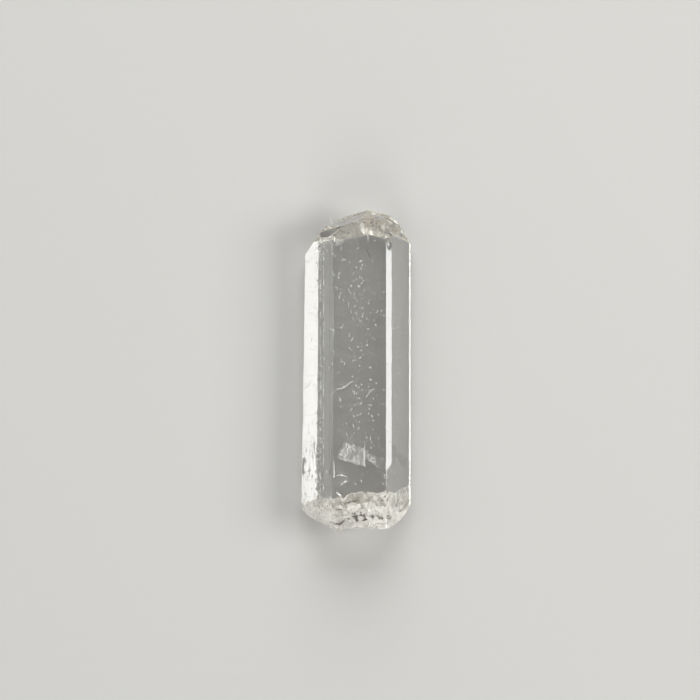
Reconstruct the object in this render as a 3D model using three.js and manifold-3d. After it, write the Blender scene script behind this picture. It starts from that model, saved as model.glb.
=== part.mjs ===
// Phenakite crystal, Be2SiO4: a clear, flattened six-sided prism with bevelled upper edges. One end
// keeps its low pyramid of growth faces, and the other is a curved break, undercut and hackly.
//
// Millimetres, +Z up. The c-axis lies along Y with the pyramid at +Y, and the crystal rests on its
// wide lower prism face at z = 0. The origin is below the middle of its box.

import * as THREE from 'three';
import { mergeVertices } from 'three/addons/utils/BufferGeometryUtils.js';
import Module from 'manifold-3d';

const wasm = await Module();
wasm.setup();

// Driving sizes
const THICKNESS = 2.65; // from the rest face to the wide upper face
const UPPER_FACE = 1.2; // from the c-axis up to that upper face
const AXIS_HEIGHT = THICKNESS - UPPER_FACE;
const REACH = 12; // half the size of the blank that every face is cut from, past all of them

// Break at the lower end
const BREAK_FOOT = -7.2; // y where the break leaves the rest face
const BREAK_OVERHANG = 1.71; // how far the upper face reaches past that foot
const BREAK_SLANT = 0.16; // the foot runs nearer the tip towards +X, mm per mm
const BREAK_BOW = 0.04; // and curves further that way right of the middle, mm per mm squared
const NICK_REACH = 0.36; // how far the ragged nicks along the foot reach into the rest face
const NICK_HEIGHT = 0.13; // the share of the thickness that they take
const LIP_RISE = 0.4; // left of the bevel's top edge the lip draws back too, mm per mm
const BREAK_CELL = 0.17; // width of one hackle of the break
const HACKLE = 0.04; // how far hackles stand out of the smooth curve
const RIPPLE = 0.06; // height of the long ribs that cross it

// Striated bevel between the left side face and the upper face
const BEVEL_TOP_X = -1.265;
const BEVEL_WIDTH = 0.98;
const BEVEL_TILT = 30;
const BEVEL_TAPER = 0.0044; // how much lower it lies per mm towards the tip
const LEDGE = 0.02; // depth of one growth ledge
const LEDGE_FACE = 0.03; // width of the riser between two ledges, which makes it a side face too
const LEDGE_SPACING = 0.16; // along the crystal, between the points where a ledge's edge turns

// Growth faces. azimuth turns about the c-axis from +X towards +Z, polar is the angle between the
// c-axis and the face's normal, and distance is from the middle of the crystal. Angles of 37.4,
// 56.8, 33.5 and 52.9 are the mineral's own forms. The prism's faces taper by up to 1.3, and the
// two low faces of the tip turned away from theirs as they grew.
const PRISM_FACES = [
  { azimuth: 90, polar: 90, distance: UPPER_FACE },
  { azimuth: 270, polar: 90, distance: AXIS_HEIGHT },
  { azimuth: 30, polar: 90, distance: 2.295 },
  { azimuth: 150, polar: 89.7, distance: 2.194 },
  { azimuth: 210, polar: 88.75, distance: 2.937 },
  { azimuth: 330, polar: 90, distance: 3.138 },
  { azimuth: 60, polar: 90, distance: 1.886 },
];
const TIP_FACES = [
  { azimuth: 120, polar: 37.4, distance: 7.275 },
  { azimuth: 252, polar: 33.8, distance: 7.015 },
  { azimuth: 60, polar: 37.4, distance: 7.687 },
  { azimuth: 288, polar: 35.8, distance: 7.15 },
  { azimuth: 90, polar: 45, distance: 6.815 },
  { azimuth: 60, polar: 56.8, distance: 6.009 },
  { azimuth: 60, polar: 77, distance: 3.507 },
  { azimuth: 120, polar: 56.8, distance: 5.6 },
  { azimuth: 30, polar: 52.9, distance: 6.715 },
  { azimuth: 150, polar: 33.5, distance: 7.69 },
  { azimuth: 210, polar: 33.5, distance: 7.385 },
  { azimuth: 180, polar: 54, distance: 6.137 },
  { azimuth: 0, polar: 57.5, distance: 6.45 },
];

// Ledge along the foot of the right side: above its tread the side face lies back by this much
const SIDE_RECESS = 0.05;
const SIDE_TREAD = { azimuth: 60, polar: 90, distance: 0.865 };

// Right side below the growth step, where a steeper face takes the bevel's place
const STEP_FACE = { azimuth: 34, polar: 90, distance: 2.085 };
const STEP_START = new THREE.Vector3(1.76, -5.58, THICKNESS); // where the step meets the upper face
const STEP_TURN = 55.5; // the step's line across the side face, from +X, in degrees

// Chips: where each is centred, the radius of the ball that bites it out, how deep it bites, how
// many times longer than wide it is, and the ball's subdivision. A low one leaves flat facets.
const CHIPS = [
  { x: -1.27, y: -5.28, z: THICKNESS - 0.02, radius: 0.3, bite: 0.03, stretch: 1.6, detail: 3 },
  { x: -1.28, y: -5.7, z: THICKNESS - 0.03, radius: 0.4, bite: 0.04, stretch: 1.5, detail: 3 },
  { x: 3.13, y: -4.65, z: 0.52, radius: 0.3, bite: 0.03, stretch: 1, detail: 3 },
  { x: 1.84, y: 7.08, z: THICKNESS - 0.07, radius: 0.28, bite: 0.1, stretch: 1.9, detail: 1 },
  { x: 1.6, y: 7.42, z: THICKNESS - 0.02, radius: 0.55, bite: 0.06, stretch: 0.8, detail: 3 },
];

const radians = THREE.MathUtils.degToRad;

// A fixed scatter between -1 and 1 for the point numbered i, j.
function scatter(i, j) {
  const value = Math.sin(i * 127.1 + j * 311.7) * 43758.5453;
  return 2 * (value - Math.floor(value)) - 1;
}

function toSolid(geometry) {
  const bare = geometry.clone();
  bare.deleteAttribute('normal');
  bare.deleteAttribute('uv');
  const merged = mergeVertices(bare, 1e-5);
  return new wasm.Manifold(
    new wasm.Mesh({
      numProp: 3,
      vertProperties: new Float32Array(merged.attributes.position.array),
      triVerts: new Uint32Array(merged.index.array),
    })
  );
}

function toGeometry(solid) {
  const mesh = solid.getMesh();
  const geometry = new THREE.BufferGeometry();
  geometry.setAttribute('position', new THREE.BufferAttribute(mesh.vertProperties, mesh.numProp));
  geometry.setIndex(new THREE.BufferAttribute(mesh.triVerts, 1));
  return geometry;
}

function faceNormal({ azimuth, polar }) {
  const around = radians(azimuth);
  const lean = Math.sin(radians(polar));
  return new THREE.Vector3(
    lean * Math.cos(around), Math.cos(radians(polar)), lean * Math.sin(around)
  );
}

// Everything outside one growth face, as a block.
function outside(face) {
  const normal = faceNormal(face);
  const block = new THREE.BoxGeometry(4 * REACH, 4 * REACH, 2 * REACH);
  block.applyQuaternion(
    new THREE.Quaternion().setFromUnitVectors(new THREE.Vector3(0, 0, 1), normal)
  );
  const middle = normal.multiplyScalar(face.distance + REACH);
  block.translate(middle.x, middle.y, middle.z + AXIS_HEIGHT);
  return toSolid(block);
}

// A closed block whose front is a relief. us and vs are the grid lines, front(u, v) gives a point
// of the relief, and back is the step from there to the block's plain rear, against us x vs.
function reliefBlock(us, vs, front, back) {
  const points = [];
  const indices = [];
  const rows = vs.length;
  const rearStart = us.length * rows;
  for (const step of [new THREE.Vector3(), back]) {
    us.forEach((u, i) => vs.forEach((v, j) => points.push(...front(u, v, i, j).add(step).toArray())));
  }
  const quad = (a, b, c, d) => indices.push(a, b, c, a, c, d);
  for (let i = 0; i < us.length - 1; i++) {
    for (let j = 0; j < rows - 1; j++) {
      const ring = [i * rows + j, (i + 1) * rows + j, (i + 1) * rows + j + 1, i * rows + j + 1];
      if ((i + j) % 2 === 1) ring.push(ring.shift()); // turns the quad's diagonal
      quad(...ring);
      quad(...ring.map((k) => rearStart + k).reverse());
    }
  }
  const wall = (a, b) => quad(b, a, rearStart + a, rearStart + b);
  for (let i = 0; i < us.length - 1; i++) {
    wall(i * rows, (i + 1) * rows);
    wall((i + 1) * rows + rows - 1, i * rows + rows - 1);
  }
  const lastColumn = (us.length - 1) * rows;
  for (let j = 0; j < rows - 1; j++) {
    wall(j + 1, j);
    wall(lastColumn + j, lastColumn + j + 1);
  }
  const geometry = new THREE.BufferGeometry();
  geometry.setAttribute('position', new THREE.Float32BufferAttribute(points, 3));
  geometry.setIndex(indices);
  return toSolid(geometry);
}

function gridLines(from, to, spacing) {
  const count = Math.round((to - from) / spacing);
  return Array.from({ length: count + 1 }, (_, i) => from + ((to - from) * i) / count);
}

// The break: a shell-like curve from its foot on the rest face out to a lip at the upper face,
// fuller at both sides, with long ribs, small hackles, a knob left of the middle of the lip, and
// nicks along the middle of the foot.
function breakPoint(z, x, j, i) {
  const height = THREE.MathUtils.clamp(z / THICKNESS, 0, 1);
  const fullness = 1.45 + 0.14 * x * x - 0.012 * x ** 3;
  const foot = BREAK_FOOT + BREAK_SLANT * x + BREAK_BOW * Math.max(0, x) ** 2;
  const lip = BREAK_FOOT - BREAK_OVERHANG + LIP_RISE * Math.max(0, BEVEL_TOP_X - x);
  const curve = 1 - (1 - height) ** fullness;
  const ribs = RIPPLE * Math.sin(7 * z + 1.6 * x) * Math.cos(2.3 * x - 0.4);
  const knob = 0.13 * Math.exp(-(((x + 0.95) / 0.3) ** 2) - ((height - 1) / 0.4) ** 2);
  const nickedness = Math.exp(-(((x + 0.2) / 1.2) ** 2)) * (0.55 + 0.45 * scatter(i, 3));
  const nicks = NICK_REACH * nickedness * Math.max(0, 1 - height / NICK_HEIGHT);
  const smooth = foot + (lip - foot) * curve + ribs * (1 - height) - knob + nicks;
  const y = smooth + HACKLE * scatter(i, j);
  const shift = 0.3 * BREAK_CELL;
  return new THREE.Vector3(x + shift * scatter(j, i + 40), y, z + shift * scatter(i + 9, j));
}

function brokenEnd() {
  const across = gridLines(-3.6, 3.6, BREAK_CELL);
  const up = gridLines(-0.3, THICKNESS + 0.3, BREAK_CELL);
  return reliefBlock(up, across, breakPoint, new THREE.Vector3(0, -REACH, 0));
}

// Growth ledges along the left bevel: parallel treads, closer together towards the side face,
// where their edges wander most and cross into it.
function striations() {
  const treads = [
    { share: 0.1, wander: 0.004 },
    { share: 0.24, wander: 0.01 },
    { share: 0.64, wander: 0.02 },
    { share: 0.75, wander: 0.032 },
    { share: 0.86, wander: 0.04 },
    { share: 0.96, wander: 0.045 },
  ];
  const across = [-0.3];
  for (const { share } of treads) {
    across.push(share * BEVEL_WIDTH, share * BEVEL_WIDTH + LEDGE_FACE);
  }
  across.push(BEVEL_WIDTH + 0.3);
  const along = gridLines(-9.24, 7.4, LEDGE_SPACING);
  const tilt = radians(BEVEL_TILT);
  const down = new THREE.Vector3(-Math.cos(tilt), 0, -Math.sin(tilt));
  const outward = new THREE.Vector3(-Math.sin(tilt), 0, Math.cos(tilt));
  const front = (v, y, i, j) => {
    const passed = Math.floor(i / 2); // how many treads lie between this point and the top
    const edge = treads[Math.floor((i - 1) / 2)];
    const wander = edge ? edge.wander * scatter(Math.floor((i - 1) / 2), j) : 0;
    const depth = (passed % 2) * LEDGE + 0.003 * passed + BEVEL_TAPER * y;
    return new THREE.Vector3(BEVEL_TOP_X, y, THICKNESS)
      .addScaledVector(down, v + wander)
      .addScaledVector(outward, -depth);
  };
  return reliefBlock(across, along, front, outward.clone().multiplyScalar(1.5));
}

// What the right side face lacks above the ledge at its foot.
function sideRecess() {
  const face = PRISM_FACES.find(({ azimuth }) => azimuth === 30);
  const recessed = { ...face, distance: face.distance - SIDE_RECESS };
  return outside(recessed).intersect(outside(SIDE_TREAD));
}

// What the steeper lower part of the right side takes away, between the ledge at its foot and the
// growth step.
function growthStep() {
  const slope = radians(STEP_TURN);
  const below = new THREE.BoxGeometry(2 * REACH, REACH, 2 * REACH);
  below.translate(0, -REACH / 2, 0);
  below.rotateZ(slope);
  below.translate(STEP_START.x, STEP_START.y, STEP_START.z);
  return toSolid(below).intersect(outside(STEP_FACE)).intersect(outside(SIDE_TREAD));
}

// A ball that bites a chip out of the nearest surface. It is set off along the line from the
// crystal's axis, so that only its lowest part cuts.
function chip({ x, y, z, radius, bite, stretch, detail }, index) {
  const away = new THREE.Vector3(x, 0, 1.6 * (z - AXIS_HEIGHT)).normalize();
  const ball = new THREE.IcosahedronGeometry(radius, detail);
  ball.rotateY(index);
  ball.scale(1, stretch, 1);
  ball.translate(
    x + away.x * (radius - bite), y, z + away.z * (radius - bite)
  );
  return toSolid(ball);
}

function crystal() {
  let solid = toSolid(new THREE.BoxGeometry(2 * REACH, 2 * REACH, 2 * REACH));
  for (const face of [...PRISM_FACES, ...TIP_FACES]) {
    solid = solid.subtract(outside(face));
  }
  for (const cutter of [striations(), sideRecess(), growthStep(), brokenEnd()]) {
    solid = solid.subtract(cutter);
  }
  CHIPS.forEach((place, index) => {
    solid = solid.subtract(chip(place, index));
  });
  const geometry = toGeometry(solid);
  geometry.computeBoundingBox();
  const middle = geometry.boundingBox.getCenter(new THREE.Vector3());
  return geometry.translate(-middle.x, -middle.y, 0);
}

const phenakite = new THREE.MeshStandardMaterial({
  color: 0xeeeeec,
  roughness: 0.05,
  metalness: 0,
  transparent: true,
  opacity: 0.35,
});

const specimen = new THREE.Group();
const body = new THREE.Mesh(crystal(), phenakite);
body.name = 'phenakite_crystal';
specimen.add(body);

export default specimen;
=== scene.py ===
"""Phenakite crystal: a clear, flattened prism with a low pyramid at one end and a frosted,
undercut break at the other, with its cracks, stained specks and painted crack shade, dust and lint,
on a pale floor."""

import math
import random

import bmesh
import bpy
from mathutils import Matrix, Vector, noise
from mathutils.bvhtree import BVHTree
from mathutils.geometry import interpolate_bezier


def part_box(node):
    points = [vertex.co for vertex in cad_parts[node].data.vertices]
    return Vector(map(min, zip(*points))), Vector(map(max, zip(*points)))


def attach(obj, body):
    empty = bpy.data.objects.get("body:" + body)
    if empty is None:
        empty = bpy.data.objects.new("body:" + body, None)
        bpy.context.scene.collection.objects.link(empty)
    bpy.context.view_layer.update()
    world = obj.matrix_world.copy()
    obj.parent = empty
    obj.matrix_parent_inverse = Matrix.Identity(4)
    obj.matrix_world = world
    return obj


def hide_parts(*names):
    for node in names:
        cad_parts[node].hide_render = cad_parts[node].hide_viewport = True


bl_info = {
    "name": "Phenakite Crystal",
    "version": (1, 0, 0),
    "blender": (4, 5, 0),
    "location": "3D View > Sidebar > Phenakite",
    "description": "Builds the looks of a natural phenakite crystal around its packed solid",
    "category": "Object",
}

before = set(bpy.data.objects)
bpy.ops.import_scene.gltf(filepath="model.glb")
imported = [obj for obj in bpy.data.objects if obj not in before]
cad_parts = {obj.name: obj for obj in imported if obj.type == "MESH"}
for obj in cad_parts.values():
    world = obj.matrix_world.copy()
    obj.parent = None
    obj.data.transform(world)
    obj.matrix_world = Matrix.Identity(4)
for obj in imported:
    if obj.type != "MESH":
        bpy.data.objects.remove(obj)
MM = 0.001
CAD_NODE = "phenakite_crystal"
LOW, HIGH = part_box(CAD_NODE)
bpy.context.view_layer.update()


# ---------------------------------------------------------------------------
# Small helpers
# ---------------------------------------------------------------------------


def linear(hex_colour):
    """The linear RGBA of an sRGB hex colour."""
    channels = (int(hex_colour[i : i + 2], 16) / 255 for i in (0, 2, 4))
    return (*(c / 12.92 if c <= 0.04045 else ((c + 0.055) / 1.055) ** 2.4 for c in channels), 1.0)


def add_node(tree, kind, settings=(), **inputs):
    """Adds a node. settings are its own properties. inputs are values or sockets to link, by the
    input's name with _ for a space, or by _ and its number."""
    node = tree.nodes.new(kind)
    for name, value in dict(settings).items():
        setattr(node, name, value)
    for name, value in inputs.items():
        if name[1:].isdigit():
            socket = node.inputs[int(name[1:])]
        else:
            socket = node.inputs[name.replace("_", " ")]
        if isinstance(value, bpy.types.NodeSocket):
            tree.links.new(value, socket)
        else:
            socket.default_value = value
    return node


def new_material(name):
    """An empty node material, with its tree and output node."""
    material = bpy.data.materials.new(name)
    material.use_nodes = True
    material.node_tree.nodes.clear()
    return material, material.node_tree, add_node(material.node_tree, "ShaderNodeOutputMaterial")


def add_piece(name, bm, material):
    """Makes a piece of the crystal from bm. It rides on the crystal's one body."""
    mesh = bpy.data.meshes.new(name)
    bm.to_mesh(mesh)
    bm.free()
    piece = bpy.data.objects.new(name, mesh)
    bpy.context.scene.collection.objects.link(piece)
    mesh.materials.append(material)
    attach(piece, "root")
    return piece


# ---------------------------------------------------------------------------
# Materials
# ---------------------------------------------------------------------------


def phenakite():
    """Phenakite, Be2SiO4, natural crystal with growth faces and a raw break: see-through, a
    higher gloss than glass, a faint cream cast along its length, and frost where it broke."""
    material, tree, output = new_material("phenakite, natural growth faces and raw break")
    place = add_node(tree, "ShaderNodeTexCoord").outputs["Object"]
    broken = add_node(tree, "ShaderNodeAttribute", {"attribute_name": "broken"}).outputs["Fac"]

    # Growth striae 0.09 mm apart run along the prism, over slow swells a few millimetres long
    per_mm = 1 / MM
    along_prism = add_node(
        tree,
        "ShaderNodeVectorMath",
        {"operation": "MULTIPLY"},
        _0=place,
        _1=(per_mm / 0.09, per_mm / 6, per_mm / 0.09),
    ).outputs[0]
    striae = add_node(
        tree, "ShaderNodeTexNoise", Vector=along_prism, Scale=1.0, Detail=2.0
    ).outputs["Fac"]
    swells = add_node(
        tree, "ShaderNodeTexNoise", Vector=place, Scale=per_mm / 2.2, Detail=1.0
    ).outputs["Fac"]
    relief = add_node(
        tree, "ShaderNodeMath", {"operation": "MULTIPLY_ADD"}, _0=swells, _1=14.0, _2=striae
    ).outputs[0]
    growth_bump = add_node(
        tree, "ShaderNodeBump", Strength=0.5, Distance=0.0006 * MM, Height=relief
    ).outputs["Normal"]

    # Hackles of 0.05 mm, and frost that comes and goes between them
    grain = add_node(
        tree, "ShaderNodeTexNoise", Vector=place, Scale=per_mm / 0.05, Detail=3.0, Roughness=0.6
    ).outputs["Fac"]
    patches = add_node(
        tree, "ShaderNodeTexNoise", Vector=place, Scale=per_mm / 0.4, Detail=2.0
    ).outputs["Fac"]
    frost = add_node(
        tree, "ShaderNodeMapRange", Value=patches, From_Min=0.35, From_Max=0.65,
        To_Min=0.31, To_Max=0.48,
    ).outputs[0]
    roughness = add_node(
        tree, "ShaderNodeMath", {"operation": "MULTIPLY"}, _0=frost, _1=broken
    ).outputs[0]
    hackle_height = add_node(
        tree, "ShaderNodeMath", {"operation": "MULTIPLY"}, _0=grain, _1=broken
    ).outputs[0]
    normal = add_node(
        tree, "ShaderNodeBump", Strength=0.9, Distance=0.018 * MM, Height=hackle_height,
        Normal=growth_bump,
    ).outputs["Normal"]

    # The break itself is creamier than faces and veils, and iron stained in a few hollows
    raw = add_node(tree, "ShaderNodeMath", {"operation": "POWER"}, _0=broken, _1=4.0).outputs[0]
    cream = add_node(
        tree, "ShaderNodeMix", {"data_type": "RGBA"}, Factor=raw,
        _6=linear("FEFEFD"), _7=linear("F6ECDA"),
    ).outputs[2]
    stain = add_node(
        tree, "ShaderNodeTexNoise", Vector=place, Scale=per_mm / 0.3, Detail=4.0, Roughness=0.7
    ).outputs["Fac"]
    stain_spots = add_node(
        tree, "ShaderNodeMapRange", Value=stain, From_Min=0.6, From_Max=0.7, To_Min=0.0, To_Max=0.55
    ).outputs[0]
    stained = add_node(
        tree, "ShaderNodeMath", {"operation": "MULTIPLY"}, _0=stain_spots, _1=raw
    ).outputs[0]
    colour = add_node(
        tree, "ShaderNodeMix", {"data_type": "RGBA"}, Factor=stained, _6=cream,
        _7=linear("B08A5E"),
    ).outputs[2]

    surface = add_node(
        tree,
        "ShaderNodeBsdfPrincipled",
        Base_Color=colour,
        Roughness=roughness,
        IOR=1.66,
        Transmission_Weight=1.0,
        Normal=normal,
    )
    depth = add_node(tree, "ShaderNodeVolumeAbsorption", Color=linear("E6E2D4"), Density=35.0)
    tree.links.new(surface.outputs[0], output.inputs["Surface"])
    tree.links.new(depth.outputs[0], output.inputs["Volume"])
    return material


def mottled_matt(name, tints, mottle, detail, **values):
    """A matt material between two tints, the darker first, that come and go over mottle in m.
    values are more settings of its surface."""
    material, tree, output = new_material(name)
    dark, light = tints
    place = add_node(tree, "ShaderNodeTexCoord").outputs["Object"]
    share = add_node(
        tree, "ShaderNodeTexNoise", Vector=place, Scale=1 / mottle, Detail=detail
    ).outputs["Fac"]
    colour = add_node(
        tree, "ShaderNodeMix", {"data_type": "RGBA"}, Factor=share, _6=linear(dark),
        _7=linear(light),
    ).outputs[2]
    surface = add_node(tree, "ShaderNodeBsdfPrincipled", Base_Color=colour, **values)
    tree.links.new(surface.outputs[0], output.inputs["Surface"])
    return material


def iron_oxide_and_crack_shade():
    """Dull specks, brown to black: limonite, an earthy iron oxide that seeped into the break, and
    painted shade along its fine cracks.
    """
    tints = ("0D0B0A", "5A4230")
    return mottled_matt("limonite stain and painted crack shade", tints, 0.2 * MM, 3.0, Roughness=0.8, IOR=1.5)


def mineral_dust():
    """Mineral and household dust, settled: pale, matt grains, some a little darker."""
    tints = ("C9C6BE", "F8F7F2")
    return mottled_matt("mineral dust, settled", tints, 0.5 * MM, 2.0, Roughness=0.9, IOR=1.5)


COTTON_TINTS = {"bleached": ("B9B5AC", "F2F0EA"), "dyed red": ("5E3836", "86524E")}


def cotton_lint(dye):
    """Cotton lint, loose single fibres: soft and matt, and paler where a fibre is twisted."""
    finish = {"Roughness": 0.85, "IOR": 1.53, "Sheen_Weight": 0.2}
    return mottled_matt("cotton lint, " + dye, COTTON_TINTS[dye], 0.1 * MM, 1.0, **finish)


def painted_board(tone):
    """Board painted matt: an even, pale ground with a faint roller texture."""
    material, tree, output = new_material("board, matt white paint, rolled")
    place = add_node(tree, "ShaderNodeTexCoord").outputs["Object"]
    stipple = add_node(
        tree, "ShaderNodeTexNoise", Vector=place, Scale=1 / (0.8 * MM), Detail=2.0
    ).outputs["Fac"]
    normal = add_node(
        tree, "ShaderNodeBump", Strength=0.2, Distance=0.01 * MM, Height=stipple
    ).outputs["Normal"]
    surface = add_node(
        tree, "ShaderNodeBsdfPrincipled", Base_Color=(*tone, 1.0), Roughness=0.75, IOR=1.45,
        Normal=normal,
    )
    tree.links.new(surface.outputs[0], output.inputs["Surface"])
    return material


# ---------------------------------------------------------------------------
# The crystal
# ---------------------------------------------------------------------------

BREAK_TOP = -6.3 * MM  # the break lies below this y
JITTER = 0.007 * MM  # keeps the points of the break off an even grid
SMOOTHINGS = 6  # passes that round the large facets of the break before its hackles are raised
RIDGES = ((2.6, 1.7), (6.0, 1.2), (14.0, 0.7), (25.0, 0.4))  # ridges per mm, and their strength
KNOB = (-0.95, 2.5)  # x and z in mm of the knob of the lip
RIBS = 5.5  # how fast the ribs round the knob follow each other, in radians per mm


def is_broken(face):
    return face.normal.y < -0.1 and face.calc_center_median().y < BREAK_TOP


def break_depth(place, hackle):
    """How far the break moves along the prism at a point, so that the prism's faces stay flat:
    sharp-crested ridges of a few sizes, and ribs that curve round the knob of the lip."""
    at = Vector((place.x, place.z, 0)) / MM
    ridges = 0.0
    for per_mm, share in RIDGES:
        ridges += share * (0.5 - abs(noise.noise(at * per_mm + Vector((0, 0, per_mm)))))
    from_knob = math.hypot(at.x - KNOB[0], at.y - KNOB[1])
    arcs = abs(math.sin(RIBS * from_knob + 1.2 * noise.noise(at * 1.1)))
    return hackle * (1.2 - ridges + 0.6 * arcs)


def roughen_break(bm, layer, settings):
    """Splits the faces of the break finely and gives them their hackles and curved ribs."""
    for face in bm.faces:
        if is_broken(face):
            face[layer] = 1.0
    edges = [edge for edge in bm.edges if any(face[layer] > 0.5 for face in edge.link_faces)]
    bmesh.ops.subdivide_edges(bm, edges=edges, cuts=settings.break_cuts, use_grid_fill=True)
    points = [vert for vert in bm.verts if any(face[layer] > 0.5 for face in vert.link_faces)]
    inner = [vert for vert in points if all(face[layer] > 0.5 for face in vert.link_faces)]
    for _ in range(SMOOTHINGS):
        bmesh.ops.smooth_vert(
            bm, verts=inner, factor=0.5, use_axis_x=True, use_axis_y=True, use_axis_z=True
        )
    rng = random.Random(3)
    for vert in inner:
        vert.co.x += rng.uniform(-JITTER, JITTER)
        vert.co.z += rng.uniform(-JITTER, JITTER)
    for vert in points:
        vert.co.y += break_depth(vert.co, settings.hackle)


# The striated strip runs from the left silhouette over the side face and the bevel to a fine
# groove along the bevel's upper edge. Sizes and places are in mm
STRIP_LEFT = -2.96
ROPE_LEFT = -2.36
ROPE_RIGHT = -1.74
GROOVE_LEFT = -1.265  # the bevel's upper edge
GROOVE_AT = -1.18  # the bottom of the groove
STRIP_RIGHT = -1.11
STRIP_Y = (-8.7, 7.15)
FINE_COLUMN = 0.02  # width of a face of the strip's mesh where the braid runs
WIDE_COLUMN = 0.052
ROW = 0.04  # its length

# The braid of growth striae on it
ROPE_CENTRE = -1.98
ROPE_DRIFT = 0.12  # how far it moves out between the middle of the crystal and the break
ROPE_WANDER = 0.05
STRAND_SWINGS = (0.06, -0.07, 0.12)  # how far each strand winds to the side
STRAND_TURN = 0.62  # one turn of the twisted strands
STRAND_HEIGHT = 0.09
STRAND_FLANK = 1.6  # slope of a strand's right flank, which lifts it to face the light from +X
STRAND_BACK = 0.7

# Finer relief round the braid
STRIA_HEIGHT = 0.0008
RIDGE_HEIGHT = 0.012  # short ridges right of the braid
ETCHING = 0.03  # etch pits left of it, deeper towards the break

# The groove, and the long nick in it: y where each end of the nick begins and is fully deep
GROOVE_DEPTH = 0.008
NICK_UPPER_END = (-5.1, -5.2)
NICK_LOWER_END = (-6.1, -5.95)
NICK_TOP = 0.03  # depth of the top of the nick's wall
NICK_WALL = 0.046  # height of that wall
CHIPS_REACH = 0.06  # how far below the upper face the chips along that edge reach
CLOSE = 0.001  # a point closer than this to a border is on it


def fade(value, start, end):
    """0 at start, 1 at end, smooth between."""
    share = min(max((value - start) / (end - start), 0.0), 1.0)
    return share * share * (3 - 2 * share)


def rope_height(x, y):
    """How far in mm the braided striae along the bevel's outer edge stand out: strands that wind
    to and fro, each with a steep right flank that is lost and found along its way."""
    centre = ROPE_CENTRE - ROPE_DRIFT * fade(y, 0, -6.0)
    centre += ROPE_WANDER * noise.noise(Vector((0, y / 1.6, 0)))
    height = 0.0
    for strand, swing in enumerate(STRAND_SWINGS):
        turn = math.tau * (y / STRAND_TURN + strand / len(STRAND_SWINGS))
        turn += 2.2 * noise.noise(Vector((strand, y / 0.45, 4)))
        from_crest = x - centre - swing * math.sin(turn)
        shown = fade(math.cos(turn), -0.2, 0.5)
        strength = fade(noise.noise(Vector((strand + 0.5, y / 0.5, 8.3))), -0.35, 0.1)
        crest = STRAND_HEIGHT * shown * strength
        drop = from_crest * STRAND_FLANK if from_crest > 0 else -from_crest * STRAND_BACK
        height = max(height, crest - drop)
    return height


def strip_height(x, y):
    """How far the striated strip stands out at x, y in mm."""
    ends = fade(y, STRIP_Y[1], STRIP_Y[1] - 0.2)
    borders = fade(x, STRIP_LEFT, STRIP_LEFT + 0.1) * fade(x, GROOVE_LEFT, GROOVE_LEFT - 0.07)
    striae = STRIA_HEIGHT * noise.noise(Vector((x / 0.07, y / 1.2, 3.0)))
    beside_rope = fade(x, -1.95, -1.9) * fade(x, ROPE_RIGHT, ROPE_RIGHT - 0.04)
    ridges = RIDGE_HEIGHT * beside_rope * noise.noise(Vector((x / 0.06, y / 0.28, 12.0)))
    etched = fade(y, -2.6, -5.0) * fade(x, -1.85, -2.1)
    pits = ETCHING * etched * noise.noise(Vector((x / 0.14, y / 0.4, 6.0)))
    return ends * borders * (rope_height(x, y) + striae + ridges + pits)


def groove_depth(x, y):
    """Depth in mm of the groove along the bevel's upper edge. It deepens to a long nick whose wall
    faces the light from +X."""
    nick = fade(y, *NICK_UPPER_END) * fade(y, *NICK_LOWER_END)
    nick *= 0.97 + 0.2 * noise.noise(Vector((y / 0.2, 0.5, 1.5)))
    if x > GROOVE_AT:
        share = (STRIP_RIGHT - x) / (STRIP_RIGHT - GROOVE_AT)
        return share * (GROOVE_DEPTH + nick * (NICK_TOP + NICK_WALL))
    share = (x - GROOVE_LEFT) / (GROOVE_AT - GROOVE_LEFT)
    return GROOVE_DEPTH * share + nick * (NICK_TOP + NICK_WALL * share)


def bruise(x, y):
    """How frosted the strip is at x, y in mm: in patches, next to the break."""
    ragged = 0.4 * noise.noise(Vector((x / 0.3, y / 0.3, 2)))
    patches = 0.35 + 0.5 * noise.noise(Vector((x / 0.12, y / 0.2, 5)))
    return patches * fade(y + ragged, -6.4, -7.0) * fade(x, -1.3, -1.4)


def slice_faces(bm, faces, axis, places):
    """Cuts these faces across an axis at each place, in mm, and returns what they become."""
    normal = Vector((0, 0, 0))
    normal[axis] = 1
    for place in places:
        touched = {edge for face in faces for edge in face.edges}
        touched |= {vert for face in faces for vert in face.verts}
        point = normal * place * MM
        cut = bmesh.ops.bisect_plane(
            bm, geom=list(faces) + list(touched), dist=1e-8, plane_co=point, plane_no=normal
        )
        faces = {item for item in cut["geom"] if isinstance(item, bmesh.types.BMFace)}
    return faces


def steps_between(start, end, spacing):
    count = round((end - start) / spacing)
    return [start + (end - start) * i / count for i in range(count + 1)]


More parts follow.
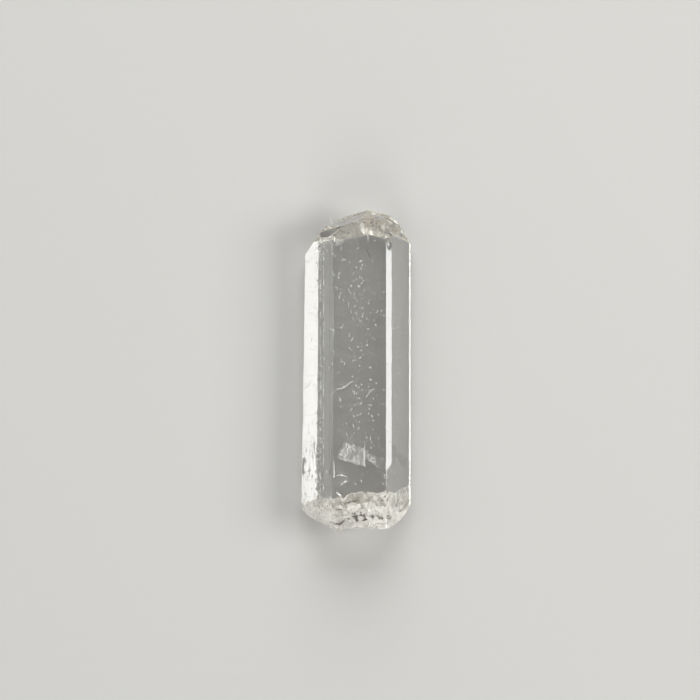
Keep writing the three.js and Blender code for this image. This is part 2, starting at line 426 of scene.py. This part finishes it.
def striated_strip(bm, layer):
    """Splits the strip over the left bevel finely, and raises its twisted growth striae and the
    fine groove along its upper edge."""
    strip = {
        face
        for face in bm.faces
        if face.normal.z > 0.3
        and abs(face.normal.y) < 0.2
        and face.normal.x < 0.05
        and min(vert.co.x for vert in face.verts) < STRIP_RIGHT * MM
    }
    slice_faces(bm, strip, 0, (STRIP_LEFT, STRIP_RIGHT))
    bm.normal_update()

    def in_strip(face):
        middle = face.calc_center_median() / MM
        return STRIP_LEFT < middle.x < STRIP_RIGHT and face.normal.z > 0.3 and middle.z > 0.5

    columns = steps_between(STRIP_LEFT, ROPE_LEFT, WIDE_COLUMN)[1:]
    columns += steps_between(ROPE_LEFT, ROPE_RIGHT, FINE_COLUMN)[1:]
    columns += steps_between(ROPE_RIGHT, GROOVE_LEFT, WIDE_COLUMN)[1:] + [GROOVE_AT]
    strip = {face for face in bm.faces if in_strip(face)}
    strip = slice_faces(bm, strip, 1, steps_between(*STRIP_Y, ROW))
    strip = slice_faces(bm, strip, 0, columns)
    bm.normal_update()
    for face in strip:
        middle = face.calc_center_median() / MM
        if face[layer] < 0.5:
            face[layer] = bruise(middle.x, middle.y)
    verts = {vert for face in strip for vert in face.verts}
    normals = {vert: vert.normal.copy() for vert in verts}
    for vert, out in normals.items():
        x, y = vert.co.x / MM, vert.co.y / MM
        if STRIP_LEFT < x < GROOVE_LEFT - CLOSE:
            vert.co += out * strip_height(x, y) * MM
        elif x < STRIP_RIGHT - CLOSE and vert.co.z > HIGH.z - CHIPS_REACH * MM:
            vert.co.z = HIGH.z - groove_depth(x, y) * MM


def add_gap(bm, layer, sheet, grid, half_gap, frost):
    """A thin closed gap inside the crystal. sheet(u, v) is a point of its middle surface, with u
    and v from 0 to 1, and the gap closes at its rim. Its faces point into the gap. grid is how
    many faces it has along u and along v."""
    rows, columns = grid
    middle = [[sheet(i / rows, j / columns) for j in range(columns + 1)] for i in range(rows + 1)]

    def corner(i, j, side):
        i_next, j_next = min(i + 1, rows), min(j + 1, columns)
        i_last, j_last = max(i - 1, 0), max(j - 1, 0)
        across = middle[i_next][j] - middle[i_last][j]
        along = middle[i][j_next] - middle[i][j_last]
        open_by = math.sin(math.pi * i / rows) * math.sin(math.pi * j / columns)
        return middle[i][j] + side * half_gap * open_by * across.cross(along).normalized()

    def on_rim(i, j):
        return i in (0, rows) or j in (0, columns)

    upper = [[bm.verts.new(corner(i, j, 1)) for j in range(columns + 1)] for i in range(rows + 1)]
    lower = [
        [
            upper[i][j] if on_rim(i, j) else bm.verts.new(corner(i, j, -1))
            for j in range(columns + 1)
        ]
        for i in range(rows + 1)
    ]
    for i in range(rows):
        for j in range(columns):
            ring = [(i, j), (i, j + 1), (i + 1, j + 1), (i + 1, j)]
            for verts, order in ((upper, ring), (lower, ring[::-1])):
                bm.faces.new([verts[a][b] for a, b in order])[layer] = frost


def veil_sheet(left, right, seed):
    """A cleavage veil between two edges, each a pair of points as x, y and depth below the upper
    face in mm, rippled like torn glass."""

    def point(u, v):
        start = Vector(left[0]).lerp(Vector(left[1]), v)
        end = Vector(right[0]).lerp(Vector(right[1]), v)
        at = start.lerp(end, u)
        ripple = 0.016 * noise.noise(Vector((2 * at.x, 6 * at.y, seed)))
        ragged = 0.07 * noise.noise(Vector((4 * at.x, 4 * at.y, seed + 9)))
        ragged += 0.03 * noise.noise(Vector((12 * at.x, 12 * at.y, seed + 9)))
        return Vector((at.x + ragged, at.y + ragged, HIGH.z / MM - at.z + ripple)) * MM

    return point


def shell_sheet(centre, radius, start, sweep, width, dip):
    """A shell-shaped crack: a band that follows an arc in mm and degrees and dips inwards. The
    centre is x, y and depth below the upper face."""

    def point(u, v):
        angle = math.radians(start + sweep * v)
        taper = math.sin(math.pi * min(max(v, 0.04), 0.96))
        reach = radius - width * taper * (u - 0.5)
        depth = centre[2] + dip * taper * u
        return Vector((
            centre[0] + math.cos(angle) * reach,
            centre[1] + math.sin(angle) * reach,
            HIGH.z / MM - depth,
        )) * MM

    return point


# Two cleavage veils that meet in a hairline above the break, left and right, and a small one at
# the far end of the upper face: two points of the left edge and two of the right, as x, y and
# depth in mm. They lean about 15 degrees, so that they shine from above.
VEILS = (
    (((-1.12, -4.95, 0.77), (-0.7, -4.0, 0.9)), ((0.5, -5.45, 1.25), (0.5, -4.45, 1.25))),
    (((0.5, -4.95, 0.95), (0.55, -4.65, 0.95)), ((1.6, -5.75, 1.24), (2, -5.1, 1.34))),
    (((-1.2, 6.96, 0.25), (-1.2, 7.4, 0.39)), ((-0.72, 7.12, 0.3), (-0.7, 7.4, 0.39))),
)
VEIL_FROST = 0.45
VEIL_GRID = (18, 18)
VEIL_LEAN = math.radians(15)

# Bright flakes in the break, and the hairline between the veils, all level along Y and leaning
# like the veils: x, y, width, length and depth of the middle in mm
FLAKES = (
    (0.78, -7.83, 0.5, 0.15, 0.7),
    (1.26, -8.0, 0.3, 0.15, 0.7),
    (0.86, -8.68, 0.26, 0.16, 0.25),
    (0.47, -4.7, 0.055, 1.4, 0.8),
    (-1.5, -7.55, 0.2, 0.34, 0.6),
    (-1.72, -7.75, 0.1, 0.28, 0.6),
)
FLAKE_FROST = 0.1
FLAKE_GRID = (6, 6)

# Shell cracks, three of them beside the striated bevel: centre as x, y and depth, radius, first
# angle, sweep, width and dip, in mm and degrees
SHELL_CRACKS = (
    ((-0.85, -6.5, 0.2), 0.62, 55, 70, 0.12, 0.12),
    ((-0.5, -6.65, 0.25), 0.42, 80, 85, 0.13, 0.12),
    ((-0.75, -6.6, 0.3), 0.42, 185, 75, 0.11, 0.12),
    ((1.25, -5.95, 0.5), 0.35, -30, 55, 0.07, 0.1),
    ((-1.0, -8.45, 0.2), 0.3, 150, 140, 0.1, 0.15),
)
SHELL_FROST = 0.3
SHELL_GRID = (5, 20)


class CrystalSettings(bpy.types.PropertyGroup):
    """Sizes of the fine work on the crystal."""

    hackle: bpy.props.FloatProperty(
        name="Hackle", description="How far hackles of the break stand out", default=0.022 * MM,
        min=0.0, unit="LENGTH", precision=6,
    )
    break_cuts: bpy.props.IntProperty(
        name="Break Cuts", description="Cuts along each edge of the break", default=5, min=1, max=8
    )
    veil_gap: bpy.props.FloatProperty(
        name="Veil Gap", description="Half the opening of a cleavage veil", default=0.004 * MM,
        min=0.0, unit="LENGTH", precision=6,
    )


class OBJECT_OT_phenakite_crystal(bpy.types.Operator):
    """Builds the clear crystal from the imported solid, with its hackly break and inner cracks"""

    bl_idname = "object.phenakite_crystal"
    bl_label = "Add Crystal"

    def execute(self, context):
        settings = context.scene.phenakite.crystal
        bm = bmesh.new()
        bm.from_mesh(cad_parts[CAD_NODE].data)
        bmesh.ops.remove_doubles(bm, verts=bm.verts[:], dist=0.0001 * MM)
        bmesh.ops.dissolve_limit(
            bm, angle_limit=math.radians(0.2), verts=bm.verts[:], edges=bm.edges[:]
        )
        bm.normal_update()
        layer = bm.faces.layers.float.new("broken")
        roughen_break(bm, layer, settings)
        striated_strip(bm, layer)
        gap = settings.veil_gap
        for seed, (left, right) in enumerate(VEILS):
            add_gap(bm, layer, veil_sheet(left, right, seed + 2), VEIL_GRID, gap, VEIL_FROST)
        for seed, (x, y, width, length, depth) in enumerate(FLAKES):
            sides = []
            for end in (-width / 2, width / 2):
                deep = depth + end * math.tan(VEIL_LEAN)
                sides.append(((x + end, y - length / 2, deep), (x + end, y + length / 2, deep)))
            add_gap(bm, layer, veil_sheet(*sides, seed + 20), FLAKE_GRID, gap, FLAKE_FROST)
        for crack in SHELL_CRACKS:
            add_gap(bm, layer, shell_sheet(*crack), SHELL_GRID, gap, SHELL_FROST)
        for face in bm.faces:
            face.smooth = face[layer] > 0.99
        for edge in bm.edges:
            edge.smooth = all(face.smooth for face in edge.link_faces)
        crystal = add_piece("crystal", bm, phenakite())
        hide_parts(CAD_NODE)
        return {"FINISHED"}


# ---------------------------------------------------------------------------
# Stain and painted crack shade, dust and lint
# ---------------------------------------------------------------------------


def crystal_surface(context):
    """The crystal's surface, for placing things on it."""
    return BVHTree.FromObject(bpy.data.objects["crystal"], context.evaluated_depsgraph_get())


def add_grain(bm, place, size, length, turn, rng):
    """A lumpy, flattened grain, closed. length is how many times longer than wide it is, and turn
    is where it points, from +X towards +Y."""
    made = bmesh.ops.create_icosphere(bm, subdivisions=1, radius=size / 2)["verts"]
    along = Vector((math.cos(turn), math.sin(turn), 0))
    for vert in made:
        vert.co *= rng.uniform(0.7, 1.25)
        vert.co.z *= 0.6
        vert.co += (length - 1) * along.dot(vert.co) * along
        vert.co += place


# Where the dark specks sit, seen from above: lines from one x, y in mm to another, how far specks
# stray from the line, and how many there are.
# The wide spreads are iron stain; the slim lines along fine cracks are painted shade
STAIN_AND_CRACK_SHADE = (
    ((-0.12, -8.03), (0.02, -8.44), 0.05, 28),
    ((0.2, -8.06), (0.26, -8.24), 0.04, 9),
    ((0.38, -8.12), (0.55, -8.3), 0.05, 14),
    ((0.7, -8.18), (1.1, -8.26), 0.06, 26),
    ((1.15, -8.22), (1.5, -8.36), 0.06, 20),
    ((-0.46, -8.36), (-0.36, -8.4), 0.02, 4),
    ((-0.06, -8.45), (0.7, -8.42), 0.03, 14),
    ((-0.67, -7.52), (0.05, -7.37), 0.012, 26),
    ((-1.03, -7.83), (-0.75, -7.9), 0.012, 10),
    ((-1.16, -8.6), (-1.0, -8.66), 0.015, 12),
    ((-1.0, -8.66), (-0.82, -8.58), 0.015, 14),
    ((-0.82, -8.58), (-0.7, -8.42), 0.015, 12),
)
CRACK_SHADE_STRAY = 0.02  # specks that stray less than this follow a fine crack, and are slim: painted shade of the crack


class StainAndCrackShadeSettings(bpy.types.PropertyGroup):
    """The iron stain in the break, and the painted shade along its fine cracks."""

    size: bpy.props.FloatProperty(
        name="Size", description="Width of a middling speck", default=0.055 * MM, unit="LENGTH",
        precision=6,
    )


class OBJECT_OT_phenakite_stain_and_shade(bpy.types.Operator):
    """Sets dark specks into the break: iron oxide in its hollows, and painted shade along its fine
    cracks
    """

    bl_idname = "object.phenakite_stain"
    bl_label = "Add Iron Stain and Crack Shade"

    def execute(self, context):
        size = context.scene.phenakite.stain.size
        surface = crystal_surface(context)
        rng = random.Random(11)
        bm = bmesh.new()
        for start, end, stray, count in STAIN_AND_CRACK_SHADE:
            line = Vector(end) - Vector(start)
            turn = math.atan2(line.y, line.x)
            for _ in range(count):
                spot = Vector(start) + line * rng.random()
                spot += Vector((rng.gauss(0, stray), rng.gauss(0, stray)))
                inside = Vector((spot.x * MM, spot.y * MM, HIGH.z - 0.05 * MM))
                hit = surface.ray_cast(inside, Vector((0, 0, -1)))[0]
                if hit is None:
                    raise RuntimeError("the break wasn't found where a speck belongs")
                # Specks along a fine crack are painted shade of the crack
                crack_shade = stray < CRACK_SHADE_STRAY
                width = size * (0.85 if crack_shade else rng.uniform(0.5, 1.9))
                length = rng.uniform(2, 4) if crack_shade else rng.uniform(1, 1.8)
                way = turn if crack_shade else rng.uniform(0, math.tau)
                add_grain(bm, hit, width, length, way, rng)
        add_piece("iron_stain_and_crack_shade", bm, iron_oxide_and_crack_shade())
        return {"FINISHED"}


class DustSettings(bpy.types.PropertyGroup):
    """The dust on the crystal."""

    grains: bpy.props.IntProperty(name="Grains", description="How many grains", default=430, min=0)
    size: bpy.props.FloatProperty(
        name="Size", description="Size of a middling grain", default=0.052 * MM, unit="LENGTH",
        precision=6,
    )


DUST_X = (-2.1, 2.8, 0.2)  # from, to and most often at, in mm
DUST_Y = (-6.4, 7.4)
GRAIN_SIZES = (0.5, 0.7, 0.9, 1.2, 1.6)  # as shares of a middling grain


def drop_onto(surface, x, y):
    """The highest point of the crystal below x, y, or None past its outline."""
    return surface.ray_cast(Vector((x, y, HIGH.z + MM)), Vector((0, 0, -1)))[0]


class OBJECT_OT_phenakite_dust(bpy.types.Operator):
    """Settles dust on the crystal's upper faces"""

    bl_idname = "object.phenakite_dust"
    bl_label = "Add Dust"

    def execute(self, context):
        settings = context.scene.phenakite.dust
        surface = crystal_surface(context)
        rng = random.Random(4)
        bm = bmesh.new()
        for _ in range(settings.grains):
            x = rng.triangular(*DUST_X) * MM
            y = rng.uniform(*DUST_Y) * MM
            hit = drop_onto(surface, x, y)
            size = settings.size * rng.choice(GRAIN_SIZES)
            length, turn = rng.uniform(1.0, 1.7), rng.uniform(0, math.tau)
            if hit is not None:
                add_grain(bm, hit + Vector((0, 0, 0.25 * size)), size, length, turn, rng)
        add_piece("dust_specks", bm, mineral_dust())
        return {"FINISHED"}


# Lint on the crystal: where each fibre runs in mm, its thickness as a share, and its dye
LINT = (
    ("lint_long", ((-1.1, -1.05), (-0.7, -0.98), (-0.4, -0.72), (-0.2, -0.62)), 1.0, "bleached"),
    ("lint_curl", ((0.54, -1.5), (0.72, -1.25), (0.72, -1.12), (0.86, -1.1), (1.0, -1.04)), 1.0,
     "bleached"),
    ("lint_red", ((0.56, 7.02), (0.6, 6.75), (0.7, 6.55), (0.77, 6.34)), 0.6, "dyed red"),
    ("lint_white", ((0.54, 7.76), (0.6, 7.6), (0.65, 7.45), (0.64, 7.28)), 0.9, "bleached"),
    ("lint_tip", ((-1.36, 8.24), (-1.43, 8.36), (-1.44, 8.48), (-1.4, 8.62)), 0.8, "bleached"),
)
FIBRE_SIDES = 6
CURVE_POINTS = 7  # along the line from one knot of a fibre to the next

# Short bits of lint: their places in mm near the pyramid and elsewhere, and how long the straight
# stretches between their bends are
NEAR_TIP = ((-1.1, 0.5), (2.8, 7.0))
ELSEWHERE = ((-1.1, 1.3), (-4.6, 3.4))
BIT_STEP = (0.03, 0.075)
BIT_STEPS = 3


class LintSettings(bpy.types.PropertyGroup):
    """The loose fibres on the crystal."""

    thickness: bpy.props.FloatProperty(
        name="Thickness", description="Diameter of a fibre", default=0.042 * MM, unit="LENGTH",
        precision=6,
    )
    bits: bpy.props.IntProperty(
        name="Bits", description="How many short bits of fibre lie about", default=42, min=0
    )


def add_fibre(bm, knots, radius):
    """A round fibre along a smooth line through the knots, closed at its ends."""
    line = []
    for i in range(len(knots) - 1):
        start, end = knots[i], knots[i + 1]
        before, after = knots[max(i - 1, 0)], knots[min(i + 2, len(knots) - 1)]
        lean_in, lean_out = (end - before) / 6, (after - start) / 6
        stretch = interpolate_bezier(start, start + lean_in, end - lean_out, end, CURVE_POINTS)
        line += stretch[1:] if line else stretch
    rings = []
    for i, point in enumerate(line):
        way = (line[min(i + 1, len(line) - 1)] - line[max(i - 1, 0)]).normalized()
        side = way.cross(Vector((0, 0, 1))).normalized()
        rise = side.cross(way)
        ring = []
        for k in range(FIBRE_SIDES):
            angle = math.tau * k / FIBRE_SIDES
            out = math.cos(angle) * side + math.sin(angle) * rise
            ring.append(bm.verts.new(point + radius * out))
        rings.append(ring)
    for ring, following in zip(rings, rings[1:]):
        for k in range(FIBRE_SIDES):
            after = (k + 1) % FIBRE_SIDES
            bm.faces.new((ring[k], ring[after], following[after], following[k])).smooth = True
    bm.faces.new(rings[0][::-1])
    bm.faces.new(rings[-1])


def knots_on(surface, points, radius):
    """The points in mm, laid on the crystal with a fibre's radius below them."""
    knots = []
    for x, y in points:
        hit = drop_onto(surface, x * MM, y * MM)
        height = hit.z if hit else knots[-1].z
        knots.append(Vector((x * MM, y * MM, height + radius)))
    return knots


class OBJECT_OT_phenakite_lint(bpy.types.Operator):
    """Lays loose fibres on the crystal's upper face and over its shoulder"""

    bl_idname = "object.phenakite_lint"
    bl_label = "Add Lint"

    def execute(self, context):
        settings = context.scene.phenakite.lint
        surface = crystal_surface(context)
        cotton = {dye: cotton_lint(dye) for dye in COTTON_TINTS}
        for name, points, share, dye in LINT:
            bm = bmesh.new()
            radius = settings.thickness * share / 2
            add_fibre(bm, knots_on(surface, points, radius), radius)
            add_piece(name, bm, cotton[dye])

        # Short bits, most of them on the half towards the pyramid
        rng = random.Random(9)
        bm = bmesh.new()
        for i in range(settings.bits):
            x_range, y_range = NEAR_TIP if i % 2 else ELSEWHERE
            x = rng.uniform(*x_range)
            y = rng.uniform(*y_range)
            way = rng.uniform(0.8, 2.3)
            step = rng.uniform(*BIT_STEP)
            points = [(x, y)]
            for _ in range(BIT_STEPS):
                x, y = x + step * math.cos(way), y + step * math.sin(way)
                points.append((x, y))
                way += rng.uniform(-0.9, 0.9)
            radius = 0.5 * settings.thickness * rng.uniform(0.6, 1.1)
            add_fibre(bm, knots_on(surface, points, radius), radius)
        add_piece("lint_bits", bm, cotton["bleached"])
        return {"FINISHED"}


# ---------------------------------------------------------------------------
# The stage
# ---------------------------------------------------------------------------


class StageSettings(bpy.types.PropertyGroup):
    """Floor, lights and camera."""

    floor_tone: bpy.props.FloatVectorProperty(
        name="Floor", description="Colour of the floor", subtype="COLOR", size=3,
        default=linear("C9C8C4")[:3],
    )
    floor_radius: bpy.props.FloatProperty(
        name="Floor Radius", description="Radius of the floor", default=0.7, unit="LENGTH"
    )
    key_radiance: bpy.props.FloatProperty(
        name="Key", description="Radiance of the key softbox", default=10.0, min=0.0
    )
    side_radiance: bpy.props.FloatProperty(
        name="Side", description="Radiance of the wide panel opposite the key", default=1.3, min=0.0
    )
    front_radiance: bpy.props.FloatProperty(
        name="Front", description="Radiance of the softbox before the broken end", default=2.5,
        min=0.0,
    )
    back_radiance: bpy.props.FloatProperty(
        name="Back", description="Radiance of the softbox beyond the pyramid", default=4.0, min=0.0
    )
    room: bpy.props.FloatProperty(
        name="Room", description="Radiance of the room overhead", default=0.16, min=0.0
    )
    camera_place: bpy.props.FloatVectorProperty(
        name="Camera", description="Place of the camera", subtype="TRANSLATION",
        default=(-0.354 * MM, 1.147 * MM, 170.95 * MM),
    )
    view_width: bpy.props.FloatProperty(
        name="View Width", description="Width that the camera takes in at the crystal",
        default=39.55 * MM, unit="LENGTH",
    )


# Softboxes: azimuth from +X towards +Y and elevation in degrees, distance and side in metres
SOFTBOXES = {
    "key": (0, 34, 0.4, 0.184),
    "side": (180, 38, 0.5, 0.36),
    "front": (-90, 30, 0.4, 0.26),
    "back": (90, 24, 0.4, 0.4),
}
FLOOR_GAP = 0.03 * MM  # the crystal touches the floor only at a few points
BOUNCES = 32  # light turns back many times inside a clear crystal


def add_floor(settings):
    """A pale disc just below the crystal."""
    bm = bmesh.new()
    bmesh.ops.create_circle(bm, cap_ends=True, segments=96, radius=settings.floor_radius)
    mesh = bpy.data.meshes.new("floor")
    bm.to_mesh(mesh)
    bm.free()
    mesh.materials.append(painted_board(settings.floor_tone))
    floor = bpy.data.objects.new("floor", mesh)
    floor.location.z = LOW.z - FLOOR_GAP
    bpy.context.scene.collection.objects.link(floor)


def add_softbox(name, azimuth, elevation, distance, size, radiance):
    """A square softbox that faces the crystal. azimuth turns from +X towards +Y, in degrees."""
    lamp = bpy.data.lights.new(name, "AREA")
    lamp.shape = "SQUARE"
    lamp.size = size
    lamp.energy = radiance * math.pi * size * size
    box = bpy.data.objects.new(name, lamp)
    turn, rise = math.radians(azimuth), math.radians(elevation)
    towards = Vector(
        (math.cos(turn) * math.cos(rise), math.sin(turn) * math.cos(rise), math.sin(rise))
    )
    box.location = towards * distance
    box.rotation_euler = towards.to_track_quat("Z", "Y").to_euler()
    bpy.context.scene.collection.objects.link(box)
    return box


def add_room(radiance):
    """A plain grey room, darker low down, which draws the crystal's outlines."""
    world = bpy.data.worlds.new("room")
    world.use_nodes = True
    tree = world.node_tree
    tree.nodes.clear()
    way = add_node(tree, "ShaderNodeTexCoord").outputs["Generated"]
    height = add_node(tree, "ShaderNodeSeparateXYZ", Vector=way).outputs["Z"]
    tone = add_node(
        tree, "ShaderNodeMapRange", {"interpolation_type": "SMOOTHSTEP"}, Value=height,
        From_Min=0.0, From_Max=0.8, To_Min=0.35 * radiance, To_Max=radiance,
    ).outputs[0]
    background = add_node(
        tree, "ShaderNodeBackground", Color=linear("F6F8FA"), Strength=tone
    )
    output = add_node(tree, "ShaderNodeOutputWorld")
    tree.links.new(background.outputs[0], output.inputs["Surface"])
    bpy.context.scene.world = world


def add_camera(settings):
    """A camera that looks straight down, with the pyramid at the top of its view."""
    data = bpy.data.cameras.new("camera")
    camera = bpy.data.objects.new("camera", data)
    camera.location = settings.camera_place
    height = settings.camera_place[2] - (LOW.z + HIGH.z) / 2
    data.sensor_width = 36
    data.lens = data.sensor_width * height / settings.view_width
    data.clip_start = 0.001
    bpy.context.scene.collection.objects.link(camera)
    bpy.context.scene.camera = camera


class SCENE_OT_phenakite_stage(bpy.types.Operator):
    """Adds the pale floor, the softboxes, the room and the camera"""

    bl_idname = "scene.phenakite_stage"
    bl_label = "Add Stage"

    def execute(self, context):
        settings = context.scene.phenakite.stage
        scene = context.scene
        add_floor(settings)
        for name, place in SOFTBOXES.items():
            add_softbox(name, *place, getattr(settings, name + "_radiance"))
        add_room(settings.room)
        add_camera(settings)
        scene.view_settings.view_transform = "Standard"
        scene.cycles.max_bounces = BOUNCES
        scene.cycles.transmission_bounces = BOUNCES
        scene.cycles.glossy_bounces = BOUNCES // 2
        scene.cycles.use_denoising = True
        return {"FINISHED"}


# ---------------------------------------------------------------------------
# The add-on
# ---------------------------------------------------------------------------


class PhenakiteSettings(bpy.types.PropertyGroup):
    """All settings of the crystal and its stage."""

    crystal: bpy.props.PointerProperty(type=CrystalSettings)
    stain: bpy.props.PointerProperty(type=StainAndCrackShadeSettings)
    dust: bpy.props.PointerProperty(type=DustSettings)
    lint: bpy.props.PointerProperty(type=LintSettings)
    stage: bpy.props.PointerProperty(type=StageSettings)


PARTS = (
    (OBJECT_OT_phenakite_crystal, "crystal"),
    (OBJECT_OT_phenakite_stain_and_shade, "stain"),
    (OBJECT_OT_phenakite_dust, "dust"),
    (OBJECT_OT_phenakite_lint, "lint"),
    (SCENE_OT_phenakite_stage, "stage"),
)


class VIEW3D_PT_phenakite(bpy.types.Panel):
    """The crystal's pieces and settings"""

    bl_label = "Phenakite"
    bl_idname = "VIEW3D_PT_phenakite"
    bl_space_type = "VIEW_3D"
    bl_region_type = "UI"
    bl_category = "Phenakite"

    def draw(self, context):
        for operator, group in PARTS:
            box = self.layout.box()
            settings = getattr(context.scene.phenakite, group)
            for name in settings.__annotations__:
                box.prop(settings, name)
            box.operator(operator.bl_idname)


CLASSES = (
    CrystalSettings,
    StainAndCrackShadeSettings,
    DustSettings,
    LintSettings,
    StageSettings,
    PhenakiteSettings,
    *(operator for operator, _ in PARTS),
    VIEW3D_PT_phenakite,
)


def register():
    for cls in CLASSES:
        bpy.utils.register_class(cls)
    bpy.types.Scene.phenakite = bpy.props.PointerProperty(type=PhenakiteSettings)


def unregister():
    del bpy.types.Scene.phenakite
    for cls in reversed(CLASSES):
        bpy.utils.unregister_class(cls)


def main():
    register()
    bpy.ops.object.phenakite_crystal()
    bpy.ops.object.phenakite_stain()
    bpy.ops.object.phenakite_dust()
    bpy.ops.object.phenakite_lint()
    bpy.ops.scene.phenakite_stage()


if __name__ == "__main__":
    main()
